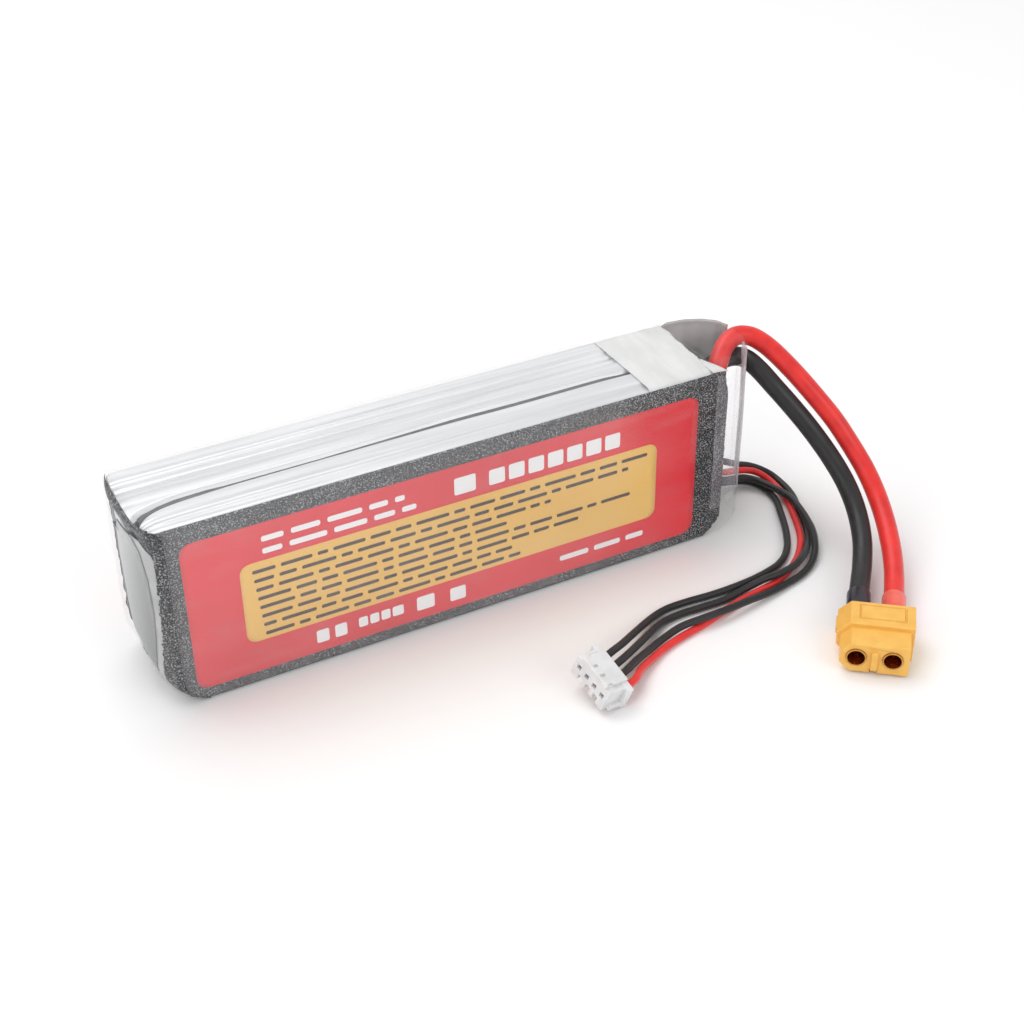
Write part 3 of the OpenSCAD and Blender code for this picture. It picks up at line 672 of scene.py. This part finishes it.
def end_sheet(name, key, grow, g, front=0.0):
    verts, faces, rows = [], [], []
    for i in range(61):
        z = 6.2 - grow + (32.7 + 2 * grow) * i / 60
        a, b = max(-12.4, interp(z, WZ, W_FRONT) + front), interp(z, WZ, W_REAR) + grow
        row = []
        for k in range(25):
            y = a + (b - a) * k / 24
            row.append(len(verts))
            verts.append((xe(y, z) + g, y, z))
        rows.append(row)
    for a, b in zip(rows, rows[1:]):
        for j in range(24):
            faces.append((a[j], b[j], b[j + 1], a[j + 1]))
    o = mesh_obj(name, verts, faces)
    paint(o, key)
    thicken(o, 0.05)
    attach(o, "root")
    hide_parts("end_pad")
    return o


MAT["pad_light"] = plain("end_pad_light", (0.42, 0.42, 0.425), (0.54, 0.54, 0.545), 0.006, (0.4, 0.55), bump_size=0.003, bump_d=0.00003, detail=2)
end_sheet("end_pad_base", "pad_light", 0.1, 0.50, -2.6)
# black sheet showing as a dark rim round the grey sheet: painted shade at the edge of the sleeve's opening
end_sheet("end_sheet_outline", "black_shrink", 0.34, 0.40, 0.5)
end_sheet("end_sheet_grey", "end_sheet", 0.0, 0.34)

# back label: outer print and smooth inner side, following the gathered end
verts, faces, rows = [], [], []
for i in range(61):
    z0 = 1.0 + (40.2 - 1.0) * i / 60
    row = []
    pts = []
    z = z0
    for k in range(16):
        y = 12.84 - (1.4 + 0.9 * nz(z * 0.5, 3, 8)) * (1 - k / 15)
        pts.append((xe(y, z) + 0.34, y))
    x0 = xe(12.84, z)
    for k in range(1, 61):
        x = x0 + (56 - x0) * k / 60
        pts.append((x, 12.9 - 0.34))
    for k in range(1, 22):
        x = 56 + (70.3 - 56) * k / 21
        pts.append((x, yb(x) - 0.34 - 0.62 - 0.25 * sstep(56, 60, x)))
    r = 1.8
    d = r - math.sqrt(max(0.0, r * r - max(0, z - (H - r)) ** 2)) if z > H - r else 0
    if z < r:
        d = r - math.sqrt(max(0.0, r * r - (r - z) ** 2))
    for x, y in pts:
        # the top edge rises over the lead end, where the film is drawn over the pack
        rise = 1.9 * sstep(55.4, 58.6, x) * (1 - 0.35 * sstep(68.2, 70.3, x))
        zz = z + rise * sstep(20, 40.2, z) + 2.4 * sstep(66, 70.5, x) * sstep(12, 1, z)
        yy = y - d if y > 6 else y
        yy -= 0.35 * sstep(40.5, 42.2, zz) * sstep(55, 58, x)
        row.append(len(verts))
        verts.append((x, yy, zz))
    rows.append(row)
for a, b in zip(rows, rows[1:]):
    for j in range(len(a) - 1):
        faces.append((a[j + 1], a[j], b[j], b[j + 1]))
back_lab = mesh_obj("back_label_print", verts, faces)
back_lab.data.materials.append(MAT["speckle"])
back_lab.data.materials.append(MAT["label_inner"])
sm = thicken(back_lab, 0.14)
sm.offset = -1
sm.material_offset = 1
sm.material_offset_rim = 0
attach(back_lab, "root")
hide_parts("back_label")


def round_panel(name, key, x0, x1, z0, z1, r, g, back=False, nx=60, nz_=24):
    """Thin ink panel with round corners, lying on the label."""
    verts, faces, rows = [], [], []
    for i in range(nz_ + 1):
        # denser rows near the rounded ends
        t = i / nz_
        z = z0 + (z1 - z0) * (0.5 - 0.5 * math.cos(math.pi * t))
        e = 0.0
        if z < z0 + r:
            e = r - math.sqrt(max(0.0, r * r - (z0 + r - z) ** 2))
        elif z > z1 - r:
            e = r - math.sqrt(max(0.0, r * r - (z - (z1 - r)) ** 2))
        row = []
        for k in range(nx + 1):
            x = x0 + e + (x1 - x0 - 2 * e) * k / nx
            row.append(len(verts))
            verts.append((x, (W - g) if back else (-W + g), z))
        rows.append(row)
    for a, b in zip(rows, rows[1:]):
        for j in range(nx):
            q = (a[j], a[j + 1], b[j + 1], b[j])
            faces.append(q[::-1] if back else q)
    o = mesh_obj(name, verts, faces)
    paint(o, key)
    thicken(o, 0.03)
    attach(o, "root")
    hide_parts("back_label" if back else "front_label")
    return o


round_panel("front_red_panel", "red_ink", -63.0, 51.6, 3.0, 37.7, 2.6, 0.30, nz_=48)
round_panel("front_yellow_panel", "yellow_ink", -51.9, 41.6, 10.4, 29.1, 2.2, 0.265, nz_=40)
round_panel("back_red_panel", "red_ink", -60.0, 52.0, 3.0, 37.7, 2.6, 0.30, back=True, nz_=48)


def dashes(name, key, items, g):
    """Plain rounded bars of ink: (x0, x1, z0, z1)."""
    verts, faces = [], []
    for x0, x1, z0, z1 in items:
        r = min(0.45, min(z1 - z0, x1 - x0) * 0.4)
        ring = []
        for cx, cz, a0 in ((x1 - r, z1 - r, 0), (x0 + r, z1 - r, 90), (x0 + r, z0 + r, 180), (x1 - r, z0 + r, 270)):
            for i in range(5):
                a = math.radians(a0 + 90 * i / 4)
                ring.append((cx + r * math.cos(a), -W + g, cz + r * math.sin(a)))
        b = len(verts)
        verts += ring
        faces.append(tuple(range(b, b + len(ring))))
    o = mesh_obj(name, verts, faces, smooth=False)
    paint(o, key)
    thicken(o, 0.02, 0)
    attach(o, "root")
    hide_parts("front_label")
    return o


def words(x0, x1, zc, h, seed, wmin=3.0, wmax=8.5, gap=1.3):
    """A line of unlettered bars, word-long."""
    out = []
    x = x0
    k = seed
    while x < x1 - 1.2:
        w = wmin + (wmax - wmin) * (0.5 + 0.5 * math.sin(k * 2.399 + seed))
        e = min(x + w, x1)
        if e - x > 1.0:
            out.append((x, e, zc - h / 2, zc + h / 2))
        x = e + gap
        k += 1
    return out


items = []
for i, x1 in enumerate((39.2, 34.6, 16.0, 7.0, 36.0, 22.6, 6.8, 9.0)):
    items += words(-49.4 + 0.2 * i, x1, 26.9 - 2.16 * i, 0.8, 3 * i + 1.7 * i * i, 2.2, 7.4, 1.1)
dashes("front_small_bars", "dark_ink", items, 0.235)
white = []
white += [(1.8 + 4.5 * i, 5.4 + 4.5 * i, 30.8, 34.4) for i in range(7)]
white += [(-6.0, -1.2, 30.8, 34.8)]
white += words(-46.9, -16.8, 34.0, 1.25, 3, 4, 8, 1.5) + words(-46.9, -14.4, 31.2, 1.25, 5, 4, 9, 1.5)
white += [(-37.6, -34.9, 5.2, 8.3), (-33.6, -31.0, 5.2, 8.3), (-28.4, -26.4, 5.8, 8.2), (-25.9, -23.9, 5.8, 8.2), (-23.4, -21.4, 5.8, 8.2), (-20.9, -18.4, 5.8, 8.2), (-15.4, -11.4, 5.2, 8.6), (-7.8, -4.2, 4.9, 8.2)]
white += words(18.2, 39.6, 6.9, 1.3, 2, 4, 8, 1.4)
dashes("front_white_bars", "white_ink", white, 0.26)

# ------------------------------------------------------------------ cells
CX = [-68.7, -70.1, -69.6]
CY = [-8.2, 0.0, 8.2]
CX_END = [54.7, 51.8, 53.1]
CT, CH, CZ = 7.9, 41.2, 0.75
ENV = 0.62


def gap_mid(x):
    return interp(x, (-69, -66.9, -63.5, -59.8, -53.3, -30, 0, 12.7, 34, 38), (-7.2, -5.3, -3.9, -3.15, -2.8, -2.7, -2.15, -2.5, -2.35, -2.8))


def gap_width(x):
    return interp(x, (-69, -65, -60, -53.5, -50, -30, -17, 0, 12, 34, 42, 50), (1.9, 1.2, 1.25, 1.1, 0.45, 0.4, 0.6, 0.95, 1.15, 1.0, 0.8, 0.5))


def pouch(name, i, node):
    """Foil pouch: soft rounded box with a folded edge seam along the top and rounded ends."""
    n = (26, 9, 26, 15)
    x0, x1 = CX[i], CX_END[i]
    L = x1 - x0
    stations = [0, 0.25, 0.8, 1.6, 2.8, 4.5, 7, 10, 14, 19, 25, 32, 40, 48, 56, 64, 72, 80, 88, 96, 103, 108, L - 9, L - 6, L - 3.6, L - 2, L - 0.8, L - 0.2, L]
    rings = []
    for s in stations:
        x = x0 + s
        e = 0.0
        if s < 4:
            e = (1.1 if i == 0 else 0.5) * (1 - math.sqrt(max(0, 1 - (1 - s / 4) ** 2)))
        if s > L - 4:
            e = 1.5 * (1 - math.sqrt(max(0, 1 - ((s - L + 4) / 4) ** 2)))
        t = CT / 2 - 0.02
        y0, y1 = CY[i] - t, CY[i] + t
        if i == 0:      # the front cell's inner corner turns away from its neighbour at the plain end
            y1 -= 1.0 * sstep(7, 0, s)
            y1 -= 0.35 + 0.3 * nz(x * 0.05, 2, 5)
        if i == 1:
            y0 += 0.15 + 0.25 * abs(nz(x * 0.04, 7, 5))
            y1 += 0.12
        if i == 2:
            y0 -= 0.12
        sec = rrect(y0 + e * 0.7, y1 - e * 0.7, CZ + e, CZ + CH - e, 0.95, n)
        ring = []
        for y, z in sec:
            yy, zz = y, z
            if z > CZ + CH - e - 0.6:
                u = (y - (y0 + e)) / max(0.1, (y1 - y0 - 2 * e))
                # folded seam strip lies along the inner half of the top
                strip = sstep(0.40, 0.46, u) * (1 - sstep(0.93, 0.99, u)) if i != 1 else sstep(0.08, 0.14, u) * (1 - sstep(0.62, 0.70, u))
                zz -= 0.42 * (1 - strip)
                zz += 0.10 * nz(x * 0.018, y * 1.6, i * 3.0) + 0.05 * nz(x * 0.12, y * 0.8, 5 + i)
                zz = min(zz, CZ + CH - 0.02)
            else:
                yy += 0.08 * nz(x * 0.05, z * 0.2, i + 0.5)
            # stay inside the sleeve's end wall
            lean = sstep(35.5, 40.6, z)
            w = (y - y0) / (y1 - y0)
            if i == 0:
                yy += lean * w ** 2 * (gap_mid(x) - gap_width(x) / 2 - y1)
            elif i == 1:
                yy += lean * (1 - w) ** 2 * (gap_mid(x) + gap_width(x) / 2 - y0) + 0.55 * lean * w ** 2
            lim = xe(max(-12.3, min(12.3, yy)), max(0.8, min(41.9, zz))) + ENV
            ring.append((max(x, lim + e * 0.2), max(-W + ENV, min(W - ENV, yy)), max(0.7, zz)))
        rings.append(ring)
    o = loft(name, rings)
    # close the two ends with fans
    me = o.data
    n_r = len(rings[0])
    import bmesh
    bm = bmesh.new()
    bm.from_mesh(me)
    bm.verts.ensure_lookup_table()
    ends = [(start, [bm.verts[start + k] for k in range(n_r)]) for start in (0, (len(rings) - 1) * n_r)]
    for start, vs in ends:
        c = sum((v.co for v in vs), Vector()) / n_r
        cv = bm.verts.new(c)
        for k in range(n_r):
            a, b = vs[k], vs[(k + 1) % n_r]
            bm.faces.new((a, b, cv) if start == 0 else (b, a, cv))
    bmesh.ops.recalc_face_normals(bm, faces=bm.faces)
    for f in bm.faces:
        f.smooth = True
    bm.to_mesh(me)
    bm.free()
    paint(o, "foil")
    ss = o.modifiers.new("soft", "SUBSURF")
    ss.levels = ss.render_levels = 1
    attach(o, "root")
    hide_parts(node)
    return o


pouch("front_foil_pouch", 0, "front_cell_pouch")
pouch("middle_foil_pouch", 1, "middle_cell_pouch")
pouch("rear_foil_pouch", 2, "rear_cell_pouch")

# dark grey strip laid in the groove between the front and middle pouches: painted shade under the middle pouch's
# overhanging edge
sv, sf = [], []
NS = 160
for i in range(NS + 1):
    x = -68.0 + (40.5 + 68.0) * i / NS
    m_, g_ = gap_mid(x), gap_width(x)
    for y, z in ((m_ - g_ * 0.62, 40.95), (m_ - g_ * 0.1, 41.2), (m_ + g_ * 0.45, 41.32), (m_ + g_ * 0.62, 41.1)):
        sv.append((x, y, z))
for i in range(NS):
    for k in range(3):
        a = i * 4 + k
        sf.append((a, a + 4, a + 5, a + 1))
seam = mesh_obj("front_gap_shade_strip", sv, sf)
# colour of the groove strip: painted shade
MAT["gap_painted_shade"] = plain("gap_strip_painted_shade_grey", (0.045, 0.045, 0.048), (0.10, 0.10, 0.105), 0.002, (0.5, 0.65), spec=0.2)
paint(seam, "gap_painted_shade")
thicken(seam, 0.06)
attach(seam, "root")
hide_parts("front_cell_pouch")

# ------------------------------------------------------------------ tape
rings = []
for k in range(41):
    f = k / 40
    ring = []
    sec = rrect(-12.35, 12.35, 0.55, 42.16, 1.9, (40, 24, 40, 40))
    for y, z in sec:
        right_edge = interp(y, (-13, -5.5, 2.65, 9.3, 12.9), (55.1, 55.6, 55.9, 56.4, 56.5)) + 0.12 * math.sin(y * 1.1) + (0.15 * nz(y * 1.3, z * 0.5, 3))
        if z < 41:
            right_edge = 54.6
        left_edge = 39.7 + 0.12 * nz(y * 0.4, z * 0.2, 8)
        x = left_edge + (right_edge - left_edge) * f
        dz = 0.0
        if z > 41.5:
            dz = -0.10 * abs(nz(x * 0.35, y * 0.25, 2.2)) - 0.05 * nz(x * 0.9, y * 1.2, 5) - 0.05
            dz -= 0.15 * sstep(0.75, 1.0, f) * sstep(6, 11, y)
        ring.append((x, max(-W + 0.5, min(W - 0.5, y)), z + dz))
    rings.append(ring)
tape = loft("crepe_tape_wrap", rings)
paint(tape, "tape")
thicken(tape, 0.1)
# free flap at the front corner of the tape
fv, ff = [], []
for a in range(7):
    for b in range(7):
        u, v = a / 6, b / 6
        x = 54.9 + 3.9 * u * (1 - 0.55 * v)
        y = -12.5 + 7.0 * v
        z = 42.2 - 0.55 * u * u + 0.12 * math.sin(v * 5)
        fv.append((x, y, z))
for a in range(6):
    for b in range(6):
        i = a * 7 + b
        ff.append((i, i + 7, i + 8, i + 1))
flap = mesh_obj("crepe_tape_flap", fv, ff)
paint(flap, "tape")
thicken(flap, 0.1)
for o in (tape, flap):
    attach(o, "root")
    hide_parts("terminal_tape")

# ------------------------------------------------------------------ CAD nodes that stay
for names, key in (
    (("front_electrode_stack", "middle_electrode_stack", "rear_electrode_stack"), "electrode"),
    (("front_positive_tab", "middle_positive_tab", "rear_positive_tab"), "alu_tab"),
    (("front_negative_tab", "middle_negative_tab", "rear_negative_tab"), "nickel"),
    (("tab_sealing_films",), "seal"),
    (("front_gap_pad", "rear_gap_pad"), "foam"),
    (("terminal_board",), "board"),
    (("insulation_paper",), "paper"),
    (("solder_joints",), "solder"),
    (("end_pad",), "pad"),
    (("positive_conductor", "negative_conductor"), "copper"),
    (("positive_heat_shrink",), "red_shrink"),
    (("negative_heat_shrink",), "black_shrink"),
    (("power_connector_housing",), "yellow"),
    (("positive_socket", "negative_socket"), "gold"),
    (("balance_connector_housing",), "white_nylon"),
    (("balance_contacts",), "tin"),
):
    for n in names:
        paint(NODES[n], key)


def soften(node, w, seg=2, angle=35):
    o = NODES[node]
    wd = o.modifiers.new("weld", "WELD")
    wd.merge_threshold = 0.000002
    b = o.modifiers.new("round_edges", "BEVEL")
    b.width = w * MM
    b.segments = seg
    b.limit_method = "ANGLE"
    b.angle_limit = math.radians(angle)
    b.harden_normals = False
    b.use_clamp_overlap = True


soften("power_connector_housing", 0.25, 3, 30)
soften("balance_connector_housing", 0.15, 2, 30)
soften("positive_heat_shrink", 0.2)
soften("negative_heat_shrink", 0.2)
soften("positive_socket", 0.08)
soften("negative_socket", 0.08)

# ------------------------------------------------------------------ floor and light
bpy.ops.mesh.primitive_plane_add(size=6, location=(0, 0, -0.00002))
floor = bpy.context.object
floor.name = "floor"
fm, ft, fb = new_mat("floor_white")
fb.inputs["Base Color"].default_value = (0.93, 0.93, 0.93, 1)
fb.inputs["Roughness"].default_value = 0.9
fb.inputs["Specular IOR Level"].default_value = 0.1
floor.data.materials.append(fm)

world = bpy.data.worlds.new("world")
scene.world = world
world.use_nodes = True
world.node_tree.nodes["Background"].inputs["Color"].default_value = (1, 1, 1, 1)
world.node_tree.nodes["Background"].inputs["Strength"].default_value = 0.66


def area(name, loc, target, size, power, size_y=None, color=(1, 1, 1)):
    d = bpy.data.lights.new(name, "AREA")
    d.energy = power
    d.color = color
    d.size = size
    if size_y:
        d.shape = "RECTANGLE"
        d.size_y = size_y
    o = link(bpy.data.objects.new(name, d))
    o.location = loc
    o.rotation_euler = (Vector(target) - Vector(loc)).to_track_quat("-Z", "Y").to_euler()
    return o


area("softbox_top", (-0.15, 0.35, 0.9), (0, 0, 0), 0.9, 4.6, 0.7)
area("softbox_left", (-0.8, -0.35, 0.5), (0, 0, 0.02), 0.5, 1.3, 0.6)
area("softbox_front", (0.3, -0.9, 0.6), (0, -0.02, 0.02), 0.7, 2.0, 0.4)

scene.view_settings.view_transform = "Standard"
scene.view_settings.look = "None"
